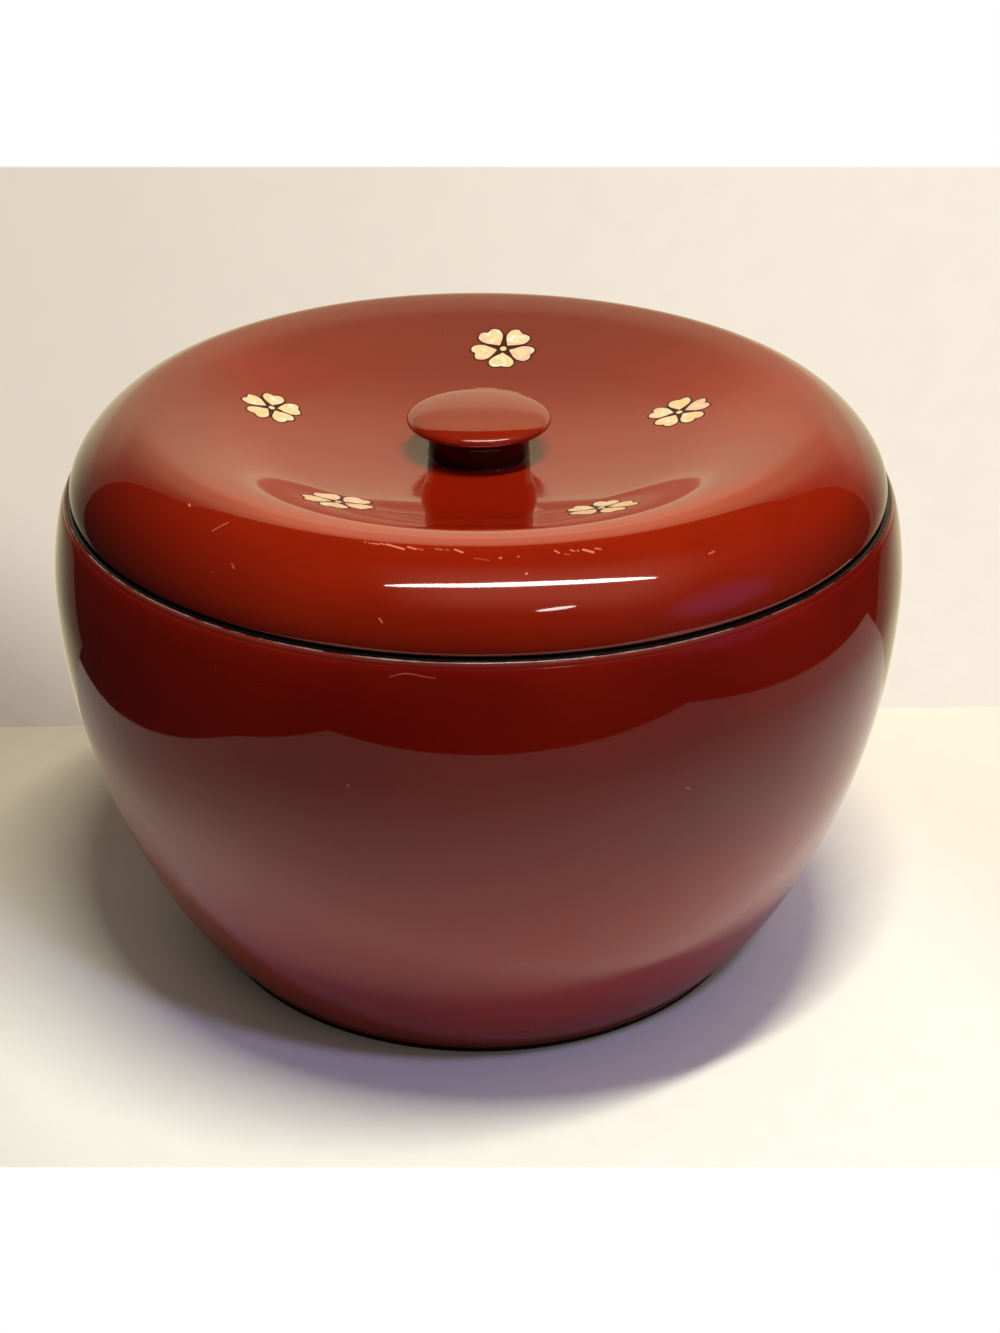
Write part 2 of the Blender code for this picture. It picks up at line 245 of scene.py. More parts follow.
def redLacquer(name, tone, lines):
    c = redCoat
    material, w = newFinish(name)
    place = w.place()
    x, y, z, radius = w.parts(place)
    # faint rings from the turning and the brush: grain that is long round the axis and short across it
    short = c["ringShort"]
    roundAxis = w.node("CombineXYZ", {}, {0: x / radius * short, 1: y / radius * short, 2: radius + z})
    base = w.blend(w.patches(place, **c["cloud"]), tone["deep"], tone["red"])
    base = w.blend(w.patches(roundAxis, **c["brush"]) * c["brushShare"], base, tone["thin"])
    # painted light: a brighter band round the bowl's lower part, lit from the floor
    if "low" in tone:
        base = w.blend(w.fade(z, *tone["lowTop"]) * w.fade(z, *tone["lowFoot"]), base, tone["low"])
    if "shadeTone" in tone:
        base = lidTone(w, base, tone, x, y, radius)
    dust = w.specks(place, **c["dust"]) * w.patches(place, **c["dusty"])
    bare = w.either(w.nicks(place, lines), dust * c["dustShare"])
    base = w.blend(bare, base, lacquer["nick"])
    if "low" in tone:
        base = w.blend(rimWear(w, place, wear["stripShare"]), base, lacquer["bare"])
    dull = w.patches(place, **c["smear"]) * c["smearDull"] + bare * c["nickDull"]
    wave = w.noise(place, c["swellScale"]) * c["swell"] + w.noise(place, c["rippleScale"]) * c["ripple"]
    normal = w.bump(wave - bare * c["nickDeep"], c["depth"])
    gloss(w, {"Base Color": base, "Roughness": c["roughness"] + dull, "IOR": tone["ior"], "Normal": normal})
    return material


blackCoat = dict(
    cloud=dict(scale=24, zero=0.45, one=0.8, detail=3), cloudShare=0.35,
    dust=dict(scale=240, zero=0.05, one=0.02), dustShare=0.25,
    smear=dict(scale=40, zero=0.4, one=0.7, detail=4, rough=0.65), roughness=0.07, smearDull=0.06,
    dustDull=0.4, swellScale=60, depth=0.00006, ior=1.4)


def blackLacquer(name, dark, worn):
    c = blackCoat
    material, w = newFinish(name)
    place = w.place()
    base = w.blend(w.patches(place, **c["cloud"]) * c["cloudShare"], dark, lacquer["brown"])
    dust = w.specks(place, **c["dust"]) * c["dustShare"]
    base = w.blend(dust, base, lacquer["nick"])
    if worn:
        base = w.blend(rimWear(w, place, 0), base, lacquer["bare"])
    dull = w.patches(place, **c["smear"]) * c["smearDull"] + dust * c["dustDull"]
    normal = w.bump(w.noise(place, c["swellScale"]), c["depth"])
    gloss(w, {"Base Color": base, "Roughness": c["roughness"] + dull, "IOR": c["ior"], "Normal": normal})
    return material


shell = dict(
    cream=ink(238, 198, 154), gold=ink(230, 190, 130), pink=ink(240, 176, 156), silver=ink(232, 224, 202),
    grown=ink(186, 142, 100), cloudScale=330, golden=(0.35, 0.65), pinkCloud=1.1, pinkEdge=(0.75, 1.25),
    pinkShare=0.9, glintShift=(0.3, 0.7, 0.1), glint=dict(scale=420, zero=0.53, one=0.68), glintShare=0.85,
    lineTurn=0.6, lineScale=(420, 2400, 900), lines=(0.55, 0.75), lineShare=0.22, lineDepth=0.00003,
    lineStrength=0.6, roughness=0.16, cloudDull=0.14, ior=1.55)


def shellPearl(name):
    # mother-of-pearl: cream to gold clouds, pink towards the cut edge, silver glints and fine growth lines
    s = shell
    material, w = newFinish(name)
    place = w.place()
    edge = w.node("Attribute", {"attribute_name": "edge"}, {}, "Fac")
    hue = w.node("Attribute", {"attribute_name": "hue"}, {}, "Fac")
    cloud = w.noise(place, s["cloudScale"], 3)
    base = w.blend(w.fade(cloud, *s["golden"]), s["cream"], s["gold"])
    blush = w.fade(edge + (cloud - 0.5) * s["pinkCloud"] + hue, *s["pinkEdge"])
    base = w.blend(blush * s["pinkShare"], base, s["pink"])
    glint = w.patches(w.vector("ADD", place, s["glintShift"]), **s["glint"])
    base = w.blend(glint * s["glintShare"], base, s["silver"])
    laid = {"Vector": place, "Rotation": (0, 0, s["lineTurn"]), "Scale": s["lineScale"]}
    grown = w.noise(w.node("Mapping", {}, laid), 1, 3)
    base = w.blend(w.fade(grown, *s["lines"]) * s["lineShare"], base, s["grown"])
    normal = w.bump(grown, s["lineDepth"], s["lineStrength"])
    dull = s["roughness"] + cloud * s["cloudDull"]
    gloss(w, {"Base Color": base, "Roughness": dull, "IOR": s["ior"], "Normal": normal})
    return material


bed = dict(
    dark=ink(54, 25, 9), light=ink(82, 42, 16), grainScale=700, lighter=(0.35, 0.75), depth=0.00004,
    strength=0.5, roughness=0.3, grainDull=0.2, ior=1.25)


def inlayBed(name):
    # the dark lacquer that fills the cut round each slip
    material, w = newFinish(name)
    grain = w.noise(w.place(), bed["grainScale"], 3)
    base = w.blend(w.fade(grain, *bed["lighter"]), bed["dark"], bed["light"])
    normal = w.bump(grain, bed["depth"], bed["strength"])
    dull = bed["roughness"] + grain * bed["grainDull"]
    gloss(w, {"Base Color": base, "Roughness": dull, "IOR": bed["ior"], "Normal": normal})
    return material


def bend(start, end, lead, approach, count=48):
    # cubic from start to end: its two handles lie at the shares lead and approach of the step, axis by axis
    start, end, lead, approach = (np.array(v, float) for v in (start, end, lead, approach))
    step, t = end - start, np.linspace(0, 1, count)[:, None]
    return ((1 - t) ** 3 * start + 3 * (1 - t) ** 2 * t * (start + lead * step)
            + 3 * (1 - t) * t ** 2 * (end - approach * step) + t ** 3 * end)


def bow(centre, radius, fromAngle, toAngle, count=9):
    # part of a circle: centre + radius (cos a, sin a), angles in degrees
    a = np.radians(np.linspace(fromAngle, toAngle, count))
    return np.stack((centre[0] + radius * np.cos(a), centre[1] + radius * np.sin(a)), 1)


def chain(*parts):
    # one line out of its parts, without the points that two parts share
    line = np.vstack([np.atleast_2d(np.array(part, float)) for part in parts])
    return line[np.r_[True, np.hypot(*np.diff(line, axis=0).T) > 1e-7]]


def skin(name, rows, poles=None):
    # grid of points (row, place round) as a closed skin; with poles it ends in them, else its ends are joined
    count, around = rows.shape[:2]
    points = rows.reshape(-1, 3)
    here = np.arange(count * around).reshape(count, around)
    beside = np.roll(here, -1, 1)
    faces = np.stack((here, beside, np.roll(beside, -1, 0), np.roll(here, -1, 0)), -1)
    faces = faces[:count if poles is None else count - 1].reshape(-1, 4).tolist()
    if poles is not None:
        points = np.vstack((points, *poles))
        tip = np.full(around, count * around)
        faces += np.stack((tip, beside[0], here[0]), 1).tolist()
        faces += np.stack((here[-1], beside[-1], tip + 1), 1).tolist()
    mesh = bpy.data.meshes.new(name)
    mesh.from_pydata(points.tolist(), [], faces)
    mesh.polygons.foreach_set("use_smooth", np.ones(len(faces), bool))
    piece = bpy.data.objects.new(name, mesh)
    bpy.context.collection.objects.link(piece)
    return piece


def turned(name, parts, steps=288):
    # surface of turning: a profile point (r, z) goes round as (r cos a, r sin a, z)
    # parts are (profile, finish), end to end: out along the under side, up, and in over the top
    line = np.vstack([profile[min(i, 1):] for i, (profile, finish) in enumerate(parts)])
    coat = np.repeat(np.arange(len(parts)), [len(profile) - 1 for profile, finish in parts])
    a = np.arange(steps) * (2 * math.pi / steps)
    r, z = line[:, :1], line[:, 1:]
    rows = np.stack((r * np.cos(a), r * np.sin(a), np.repeat(z, steps, 1)), 2)
    if r[0, 0] < 1e-9:
        piece = skin(name, rows[1:-1], (rows[0, 0], rows[-1, 0]))
        coat = np.r_[coat[1:-1], coat[0], coat[-1]]
    else:
        piece = skin(name, rows)
        coat = np.r_[coat, coat[-1]]
    for profile, finish in parts:
        piece.data.materials.append(finish)
    piece.data.polygons.foreach_set("material_index", np.repeat(coat, steps).astype(np.int32))
    return piece


def loop(inner, outer, low, high, corner):
    # a ring's section: four straight sides with a quarter bow at each corner
    def side(start, end):
        return bend(start, end, (0.1, 0.1), (0.1, 0.1), 6)
    a, b, c, d = inner + corner, outer - corner, low + corner, high - corner
    return chain(
        bow((a, c), corner, 180, 270, 6), side((a, low), (b, low)), bow((b, c), corner, 270, 360, 6),
        side((outer, c), (outer, d)), bow((b, d), corner, 0, 90, 6), side((b, high), (a, high)),
        bow((a, d), corner, 90, 180, 6), side((inner, d), (inner, c)))[:-1]


# sizes in metres, as in the part's source; arris and blackTo say in degrees where red meets black on an edge
bowl = dict(
    rimHeight=0.151, rimRadius=0.1245, rimRound=0.0018, arris=54, bellyRadius=0.129, bellyHeight=0.1226,
    baseRadius=0.0895, baseRound=0.001, wall=0.008, floor=0.010, insideFlat=0.062, footStand=0.002)
ring = dict(
    inner=0.1152, outer=0.1176, stand=0.005, seat=0.005, gap=0.0003, round=0.0007, tuck=0.0008,
    tuckFall=0.0002)
foot = dict(inner=0.0815, outer=0.0885, height=0.0045, round=0.0004)
lid = dict(
    seat=0.1513, radius=0.1225, skirt=0.1182, skirtDepth=0.0056, skirtRound=0.0004, edgeRound=0.001,
    blackTo=-60, height=0.0223, crest=0.1005, dish=0.00575, hollow=0.060, hollowRise=0.00645, hollowLead=0.34,
    crestWall=0.005, dishWall=0.0065)
curveCount = 300  # points on the curves that heights and distances are read from


def sideLine(lowCount, highCount):
    # the bowl's side from the base up: two cubics, both upright where they meet at the belly
    belly = (bowl["bellyRadius"], bowl["bellyHeight"])
    baseSide = (bowl["baseRadius"], bowl["footStand"] + bowl["baseRound"])
    rimSide = (bowl["rimRadius"], bowl["rimHeight"] - bowl["rimRound"])
    return chain(
        bend(belly, baseSide, (0, 0.41), (0.53, 0.20), lowCount)[::-1],
        bend(rimSide, belly, (0.35, 0.05), (0, 0.43), highCount)[::-1])


def dishLine(count):
    # a shallow hollow (height by r squared) that steepens without a break into a side, level at the crest
    turn = np.array((lid["hollow"], lid["dish"] + lid["hollowRise"]))
    crest = np.array((lid["crest"], lid["height"]))
    step = crest - turn
    lead = lid["hollowLead"] * np.array((1, 2 * lid["hollowRise"] / lid["hollow"] * step[0] / step[1]))
    middle = bend((0, lid["dish"]), turn, (1 / 3, 0), (1 / 3, 2 / 3), count)
    return chain(middle, bend(turn, crest, lead, (0.30, 0), count))


def shoulderLine(count):
    # from the crest, where it is level, down to the edge, where it is upright
    return bend((lid["crest"], lid["height"]), (lid["radius"], lid["edgeRound"]), (0.40, 0), (0, 0.40), count)


sideCurve = sideLine(curveCount, curveCount)
topCurve = chain(dishLine(curveCount), shoulderLine(curveCount))


def topHeight(radius):
    # height of the lid's top at a distance from the axis, read off its own curve
    return lid["seat"] + np.interp(radius, topCurve[:, 0], topCurve[:, 1])


# marks on the lid's front, in millimetres: x and distance from the axis at both ends, half width; then strength
lidMarks = [
    (-78.2, 106.4, -77.9, 106.8, 0.30, 0.8), (-70.7, 110.3, -66.5, 106.9, 0.16, 0.7),
    (-64.7, 115.6, -64.1, 116.2, 0.25, 0.4), (-25.5, 119.8, -24.7, 120.3, 0.20, 0.7),
    (60.2, 112.8, 61.6, 112.6, 0.24, 0.6), (-29.5, 103.5, -29.4, 103.5, 0.26, 0.6),
    (-28.6, 103.5, -27.9, 103.8, 0.20, 0.45), (-27.4, 103.6, -25.9, 103.7, 0.26, 0.75),
    (-25.4, 103.3, -24.6, 103.6, 0.25, 0.75), (-23.9, 103.4, -19.4, 104.6, 0.32, 1),
    (-18.3, 103.7, -16.3, 104.3, 0.30, 0.95), (-15.6, 104.1, -14.5, 104.4, 0.24, 0.4),
    (-11.2, 103.8, -9.5, 104.0, 0.24, 0.5), (-8.5, 103.9, -7.9, 104.2, 0.22, 0.35),
    (-6.2, 103.8, -4.3, 104.8, 0.30, 1), (-1.3, 106.6, 2.6, 107.3, 0.16, 0.3),
    (5.4, 106.6, 5.5, 106.6, 0.34, 0.9), (10.0, 106.4, 10.1, 106.4, 0.28, 0.6),
    (12.0, 111.0, 12.1, 111.0, 0.32, 0.8), (19.5, 105.2, 20.5, 106.0, 0.28, 0.8),
    (22.0, 106.5, 23.2, 106.8, 0.20, 0.35), (23.6, 105.5, 24.5, 105.9, 0.26, 0.8),
    (25.4, 105.9, 25.5, 105.9, 0.26, 0.8), (26.9, 105.8, 29.4, 106.9, 0.36, 1),
    (30.0, 105.8, 31.4, 106.3, 0.26, 0.75)]
# the same on the bowl's side, with the height in place of the distance
bowlMarks = [
    (-22.8, 146.7, -20.7, 147.4, 0.15, 0.3), (-20.7, 147.4, -18.9, 147.8, 0.15, 0.4),
    (-18.9, 147.8, -16.6, 147.7, 0.15, 0.45), (-16.6, 147.7, -14.1, 147.3, 0.15, 0.4),
    (-14.1, 147.3, -11.3, 147.0, 0.15, 0.3), (-34.6, 114.9, -34.1, 114.7, 0.25, 0.6),
    (54.9, 109.3, 56.1, 108.3, 0.20, 0.4)]


def onLid(x, radius):
    return (x, -math.sqrt(radius ** 2 - x ** 2), float(topHeight(radius)))


def onBowl(x, height):
    radius = float(np.interp(height, sideCurve[:, 1], sideCurve[:, 0]))
    return (x, -math.sqrt(radius ** 2 - x ** 2), height)


def scratches(marks, on):
    # each mark as its start and end in metres on the surface, half width and strength
    lines = []
    for mark in marks:
        x, place, endX, endPlace, width = (number / 1000 for number in mark[:5])
        lines.append((on(x, place), on(endX, endPlace), width, mark[5]))
    return lines


bowlRed = redLacquer("bowlRed", lacquer["bowl"], scratches(bowlMarks, onBowl))
lidRed = redLacquer("lidRed", lacquer["lid"], scratches(lidMarks, onLid))
knobRed = redLacquer("knobRed", lacquer["knob"], [])
insideBlack = blackLacquer("insideBlack", lacquer["black"], True)
# the neck's dark finish, which also paints shade on the cap's underside
neckDark = blackLacquer("neckDark", lacquer["maroon"], False)
pearl = shellPearl("pearl")
bedBrown = inlayBed("bedBrown")
print("finishes:", len(bpy.data.materials))


def makeBowl():
    b = bowl
    rim = (b["rimRadius"] - b["rimRound"], b["rimHeight"] - b["rimRound"])
    base = (b["baseRadius"] - b["baseRound"], b["footStand"] + b["baseRound"])
    seat = b["rimHeight"] - ring["seat"]
    tuck = ring["inner"] + ring["tuck"]
    innerBelly = (b["bellyRadius"] - b["wall"], b["bellyHeight"])
    inside = b["footStand"] + b["floor"]
    under = chain(
        bend((0, b["footStand"]), (base[0], b["footStand"]), (0.3, 0), (0.1, 0), 12),
        bow(base, b["baseRound"], -90, -45))
    outside = chain(
        bow(base, b["baseRound"], -45, 0), sideLine(70, 40), bow(rim, b["rimRound"], 0, b["arris"], 7))
    within = chain(
        bow(rim, b["rimRound"], b["arris"], 90, 13), (tuck, b["rimHeight"]), (tuck, seat + ring["tuckFall"]),
        (ring["inner"], seat),
        bend(innerBelly, (ring["inner"], seat), (0, 0.45), (0.30, 0.40), 30)[::-1],
        bend((b["insideFlat"], inside), innerBelly, (0.50, 0), (0, 0.54), 60)[::-1],
        bend((b["insideFlat"], inside), (0, inside), (0.1, 0), (0.3, 0), 10))
    body = turned("bowlBody", [(under, insideBlack), (outside, bowlRed), (within, insideBlack)])
    mouthLow, mouthHigh = seat + ring["gap"], b["rimHeight"] + ring["stand"]
    mouthLine = loop(ring["inner"], ring["outer"], mouthLow, mouthHigh, ring["round"])
    mouth = turned("mouthRing", [(mouthLine, insideBlack)])
    footLine = loop(foot["inner"], foot["outer"], 0, foot["height"], foot["round"])
    stand = turned("footRing", [(footLine, insideBlack)])
    for piece, node, slot in (
            (body, "bowl_shell", "red_lacquer"), (mouth, "mouth_ring", "black_lacquer"),
            (stand, "foot_ring", "black_lacquer")):
        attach(piece, "bowl")
        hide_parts(node)
    print("bowl turned")


# sizes of the knob; of the points on its lip, the first few are as dark as the neck, painted shade under the
# cap
knob = dict(
    radius=0.0217, height=0.0160, capRise=0.0045, capEdge=0.0019, neck=0.0152, fillet=0.0038, sink=0.0006,
    spread=0.0004, lip=24, darkLip=17)


def makeLid():
    up = np.array((0, lid["seat"]))
    edge = (lid["radius"] - lid["edgeRound"], lid["edgeRound"])
    innerCrest = (lid["crest"], lid["height"] - lid["crestWall"])
    bottom = (0, lid["dish"] - lid["dishWall"])
    skirt, fine = lid["skirt"], lid["skirtRound"]
    under = chain(
        bend(innerCrest, bottom, (0.20, 0), (0.65, 0), 60)[::-1],
        bend((skirt, lid["skirtDepth"]), innerCrest, (0, 0.50), (0.50, 0), 30)[::-1],
        bend((skirt, lid["skirtDepth"]), (skirt, fine), (0.1, 0.1), (0.1, 0.1), 6),
        bow((skirt + fine, fine), fine, 180, 270, 5),
        bend((skirt + fine, 0), (edge[0], 0), (0.1, 0), (0.1, 0), 6),
        bow(edge, lid["edgeRound"], -90, lid["blackTo"], 4))
    top = chain(
        bow(edge, lid["edgeRound"], lid["blackTo"], 0, 7), shoulderLine(64)[::-1], dishLine(64)[::-1])
    body = turned("lidBody", [(under + up, insideBlack), (top + up, lidRed)])
    k = knob
    crown = lid["dish"] + k["height"]
    wide = (k["radius"], crown - k["capRise"])
    ledge = wide[1] - k["capEdge"]
    flare = (k["neck"] + k["fillet"], ledge)
    low = float(topHeight(k["neck"])) - lid["seat"]
    sunk, clear = low - k["sink"], low + k["sink"]
    neck = chain(
        bend((0, sunk), (k["neck"], sunk), (0.3, 0), (0.1, 0), 6),
        bend((k["neck"] + k["spread"], low), (k["neck"], clear), (0.5, 0), (0, 0.5), 6),
        bend((k["neck"], clear), (k["neck"], ledge - k["fillet"]), (0, 0.1), (0, 0.1), 14),
        bend(flare, (k["neck"], ledge - k["fillet"]), (0.55, 0), (0, 0.55), 16)[::-1])
    # the neck's dark finish runs up on the lip, to a little below its widest part, as painted shade under the
    # cap
    lip = bend(wide, flare, (0, 0.70), (0.55, 0), k["lip"])[::-1]
    neck = chain(neck, lip[:k["darkLip"]])
    cap = chain(lip[k["darkLip"] - 1:], bend((0, crown), wide, (0.60, 0), (0, 0.58), 48)[::-1])
    grip = turned("lidKnob", [(neck + up, neckDark), (cap + up, knobRed)], 192)
    for piece, node in ((body, "lid_shell"), (grip, "lid_knob")):
        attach(piece, "lid")
        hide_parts(node)
    print("lid and knob turned")


# each blossom: bearing from +X in degrees, distance from the axis, turn of its first petal, size as a share
blossoms = [
    (83.3, 0.0686, 37.5, 0.98), (13.7, 0.0633, 0.0, 0.85), (-61.8, 0.0710, -5.0, 0.91),
    (-124.7, 0.0685, 28.0, 0.92), (164.8, 0.0659, -2.0, 0.84)]
# a petal's sizes in metres, and how much the hand varies its halves (width, reach, lobe), notch, sway and hue
petal = dict(
    count=5, tip=0.0021, shoulder=0.0079, reach=0.0104, half=0.00405, lobe=0.00215, notch=0.0007, sway=0.2,
    core=0.0068, centre=0.0011, deep=0.0005, proud=0.0001, round=0.00007, roundShare=0.0175,
    bedDeep=0.0004, bedProud=0.00004, bedMargin=0.0006, bedValley=0.0078, bedTip=1.5, bedPoints=480,
    seed=12, vary=(0.05, 0.025, 0.12, 0.05, 0.025, 0.12, 0.3, 0), varySway=0.35, varyHue=0.22, heartHue=0.1)


def slip(name, outline, core, section, hue, finish):
    # an inlay: its outline drawn in to the core by each share of the section, laid on the dish at each lift
    share, lift = np.array(section, float).T
    flat = core + (outline - core) * share[:, None, None]
    height = topHeight(np.hypot(flat[..., 0], flat[..., 1])) + lift[:, None]
    rows = np.concatenate((flat, height[..., None]), 2)
    piece = skin(name, rows[1:-1], (rows[0, 0], rows[-1, 0]))
    piece.data.materials.append(finish)
    edge = np.r_[np.repeat(share[1:-1], len(outline)), 0, 0]
    for label, values in (("edge", edge), ("hue", np.full(len(edge), hue))):
        layer = piece.data.attributes.new(label, "FLOAT", "POINT")
        layer.data.foreach_set("value", values.astype(np.float32))
    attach(piece, "lid")
    return piece


def petalOutline(hand):
    # half a petal is three cubics, from its point to the shoulder, lobe and notch; hand varies each half
    p = petal
    notch = (p["reach"] - p["notch"] * hand[6], p["half"] * p["sway"] * hand[7])

    def half(side, wide, far, spread):
        shoulder = (p["shoulder"] * far, side * p["half"] * wide)
        crown = (p["reach"] * far, side * p["lobe"] * spread)
        return chain(
            bend((p["tip"], 0), shoulder, (0.34, 0.47), (0.43, 0), 22),
            bend(shoulder, crown, (0.55, 0), (0, 0.50), 14),
            bend(crown, notch, (0, 0.50), (0.45, 0.30), 14))
    return np.vstack((half(-1, *hand[0:3]), half(1, *hand[3:6])[-2:0:-1]))


def wheel(points, turn):
    # points turned about the origin
    cos, sin = math.cos(turn), math.sin(turn)
    return points @ np.array(((cos, sin), (-sin, cos)))


def bedOutline(petals):
    # how far the dark bed reaches at each angle: the outermost of the petals' edges plus the margin
    a = np.linspace(-math.pi, math.pi, petal["bedPoints"], endpoint=False)
    reach = np.full(len(a), petal["bedValley"])
    for outline, turn in petals:
        along = np.roll(outline, -1, 0) - np.roll(outline, 1, 0)
        across = np.stack((along[:, 1], -along[:, 0]), 1) / np.hypot(*along.T)[:, None]
        wide = outline + across * petal["bedMargin"]
        angle, far = np.arctan2(wide[:, 1], wide[:, 0]), np.hypot(*wide.T)
        angle[far < petal["tip"] * petal["bedTip"]] = 0
        first, last = sorted((angle.argmin(), angle.argmax()))
        facing = (a - turn + math.pi) % (2 * math.pi) - math.pi
        outer = np.interp(facing, np.maximum.accumulate(angle[first:last + 1]), far[first:last + 1], 0, 0)
        reach = np.maximum(reach, outer)
    return np.stack((reach * np.cos(a), reach * np.sin(a)), 1)


def makeBlossoms():
    p = petal
    hands = np.random.default_rng(p["seed"])
    fine = p["roundShare"]
    top = [(1, p["proud"] - p["round"]), (1 - fine * 0.3, p["proud"] - p["round"] * 0.3)]
    top.append((1 - fine, p["proud"]))
    section = [(share, -p["deep"]) for share in (0, 0.6, 1)] + top
    section += [(share, p["proud"]) for share in (0.93, 0.8, 0.6, 0.3, 0)]
    bedSection = [(share, -p["bedDeep"]) for share in (0, 0.6, 1)] + [(1, 0)]
    bedSection += [(share, p["bedProud"]) for share in (0.997, 0.97, 0.8, 0.6, 0.4, 0.2, 0)]
    a = np.linspace(0, 2 * math.pi, 40, endpoint=False)
    disc = np.stack((np.cos(a), np.sin(a)), 1) * p["centre"]
    for b, (bearing, distance, turn, size) in enumerate(blossoms, 1):
        bearing = math.radians(bearing)
        middle = distance * np.array((math.cos(bearing), math.sin(bearing)))
        petals = []
        for k in range(p["count"]):
            hand = 1 + hands.normal(0, 1, 8) * p["vary"]
            hand[7] = hands.normal(0, p["varySway"])
            outline = petalOutline(hand)
            angle = bearing + math.radians(turn) + 2 * math.pi * k / p["count"]
            petals.append((outline, angle))
            core = middle + wheel(np.array((p["core"], 0.0)), angle) * size
            place = middle + wheel(outline, angle) * size
            piece = slip(f"petal{b}{k + 1}", place, core, section, hands.normal(0, p["varyHue"]), pearl)
            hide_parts(f"blossom_{b}_petal_{k + 1}")
        piece = slip(f"heart{b}", middle + disc * size, middle, section, p["heartHue"], pearl)
        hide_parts(f"blossom_{b}_centre")
        slip(f"bed{b}", middle + bedOutline(petals) * size, middle, bedSection, 0.0, bedBrown)
    print("blossoms inlaid:", len(blossoms))


makeBowl()
makeLid()
makeBlossoms()

stage = dict(
    left=-0.265, right=0.45, front=-0.41, back=0.117, lean=10, slant=2.2, wallLeft=-0.305, wallRight=0.36,
    wallHeight=0.48, grid=13, border=0.0005)
sheetGrain = dict(
    colour=ink(214, 202, 186), scale=90, darker=(0.3, 0.7), share=0.06, depth=0.0002, strength=0.2)


def paper(name, corners, tint):
    # a flat sheet between four corners: an even grid between the two sides
    # tint gives its colour, its colour in reflections, the share of both that glows, and its white border
    n = stage["grid"]
    s, t = np.meshgrid(np.linspace(0, 1, n), np.linspace(0, 1, n))
    a, b, c, d = (np.array(corner) for corner in corners)
    s, t = s[..., None], t[..., None]
    points = (a * (1 - s) + b * s) * (1 - t) + (d * (1 - s) + c * s) * t
    here = np.arange(n * n).reshape(n, n)
    faces = np.stack((here[:-1, :-1], here[:-1, 1:], here[1:, 1:], here[1:, :-1]), -1).reshape(-1, 4)
    mesh = bpy.data.meshes.new(name)
    mesh.from_pydata(points.reshape(-1, 3).tolist(), [], faces.tolist())
    sheet = bpy.data.objects.new(name, mesh)
    bpy.context.collection.objects.link(sheet)
    material, w = newFinish(name + "Paper")
    place = w.place()
    colour, mirror, glow, border = tint(w, *w.parts(place)[:3])
    g = sheetGrain
    grain = w.noise(place, g["scale"], 3)
    colour = w.blend(w.fade(grain, *g["darker"]) * g["share"], colour, g["colour"])
    normal = w.bump(grain, g["depth"], g["strength"])
    seen = w.node("LightPath", {}, {}, "Is Camera Ray")
    shiny = w.node("LightPath", {}, {}, "Is Glossy Ray")
    colour = w.blend(shiny, colour, mirror)
    front = w.node("BsdfPrincipled", {}, {"Base Color": colour, "Roughness": 0.8, "Normal": normal})
    shine = w.node("Emission", {}, {0: colour, 1: 1})
    front = w.node("MixShader", {}, {0: w.either(seen, shiny) * glow, 1: front, 2: shine})
    white = w.node("Emission", {}, {0: (1, 1, 1, 1), 1: 1})
    front = w.node("MixShader", {}, {0: seen * border, 1: front, 2: white})
    behind = w.node("NewGeometry", {}, {}, "Backfacing")
    clear = w.node("BsdfTransparent", {}, {})
    w.node("OutputMaterial", {}, {0: w.node("MixShader", {}, {0: behind, 1: front, 2: clear})})
    mesh.materials.append(material)


# the floor's colours, and where each fades in; end is its white border's line: y in the middle, and slope
# shade, right and far are painted shade on the floor; foot is painted shade that only reflections show
floorSheet = dict(
    plain=ink(246, 241, 231), shade=ink(190, 177, 164), right=ink(228, 213, 196), far=ink(180, 167, 156),
    foot=ink(60, 52, 52), lit=(-0.22, -0.05), litSkew=-0.8, toRight=(0.1, 0.2), rightSkew=0.5, rightShare=0.6,
    middle=0.04, toFar=(0.18, 0.32), toFoot=(0.118, 0.092), footShare=0.5, end=(-0.14, -0.0061))


def floorTint(w, x, y, z):
    f, soft = floorSheet, stage["border"]
    # painted shade: darker to the left and back, a little darker to the right and darker far out in front
    colour = w.blend(w.fade(x + y * f["litSkew"], *f["lit"]), f["shade"], f["plain"])
    colour = w.blend(w.fade(x + y * f["rightSkew"], *f["toRight"]) * f["rightShare"], colour, f["right"])
    aside = x - f["middle"]
    colour = w.blend(w.fade(w.sum("SQRT", aside * aside + y * y), *f["toFar"]), colour, f["far"])
    # painted shade near the foot, in the floor's colour for reflections only: the bowl's lowest part mirrors
    # the floor darker
    foot = w.fade(w.sum("SQRT", x * x + y * y), *f["toFoot"]) * f["footShare"]
    level, slope = f["end"]
    return colour, w.blend(foot, colour, f["foot"]), 0.0, w.fade(y - x * slope, level + soft, level - soft)


# the wall's colours as seen, and as the lid mirrors them from low to high and at the sides
wallSheet = dict(
    plain=ink(252, 241, 224), dim=ink(226, 212, 195), shade=ink(166, 152, 136), lit=(-0.25, 0.2),
    up=(-0.11, -0.01), upSkew=0.6, glow=0.92, end=(0.2031, -0.0099),
    mirrorLow=ink(240, 228, 188), mirrorShelf=ink(226, 205, 166), mirrorMid=ink(188, 174, 138),
    mirrorHigh=ink(204, 191, 144), mirrorSide=ink(116, 105, 87), toShelf=(0.172, 0.19), toMid=(0.232, 0.262),
    toHigh=(0.27, 0.36), middle=0.02, toSide=(0.16, 0.32))


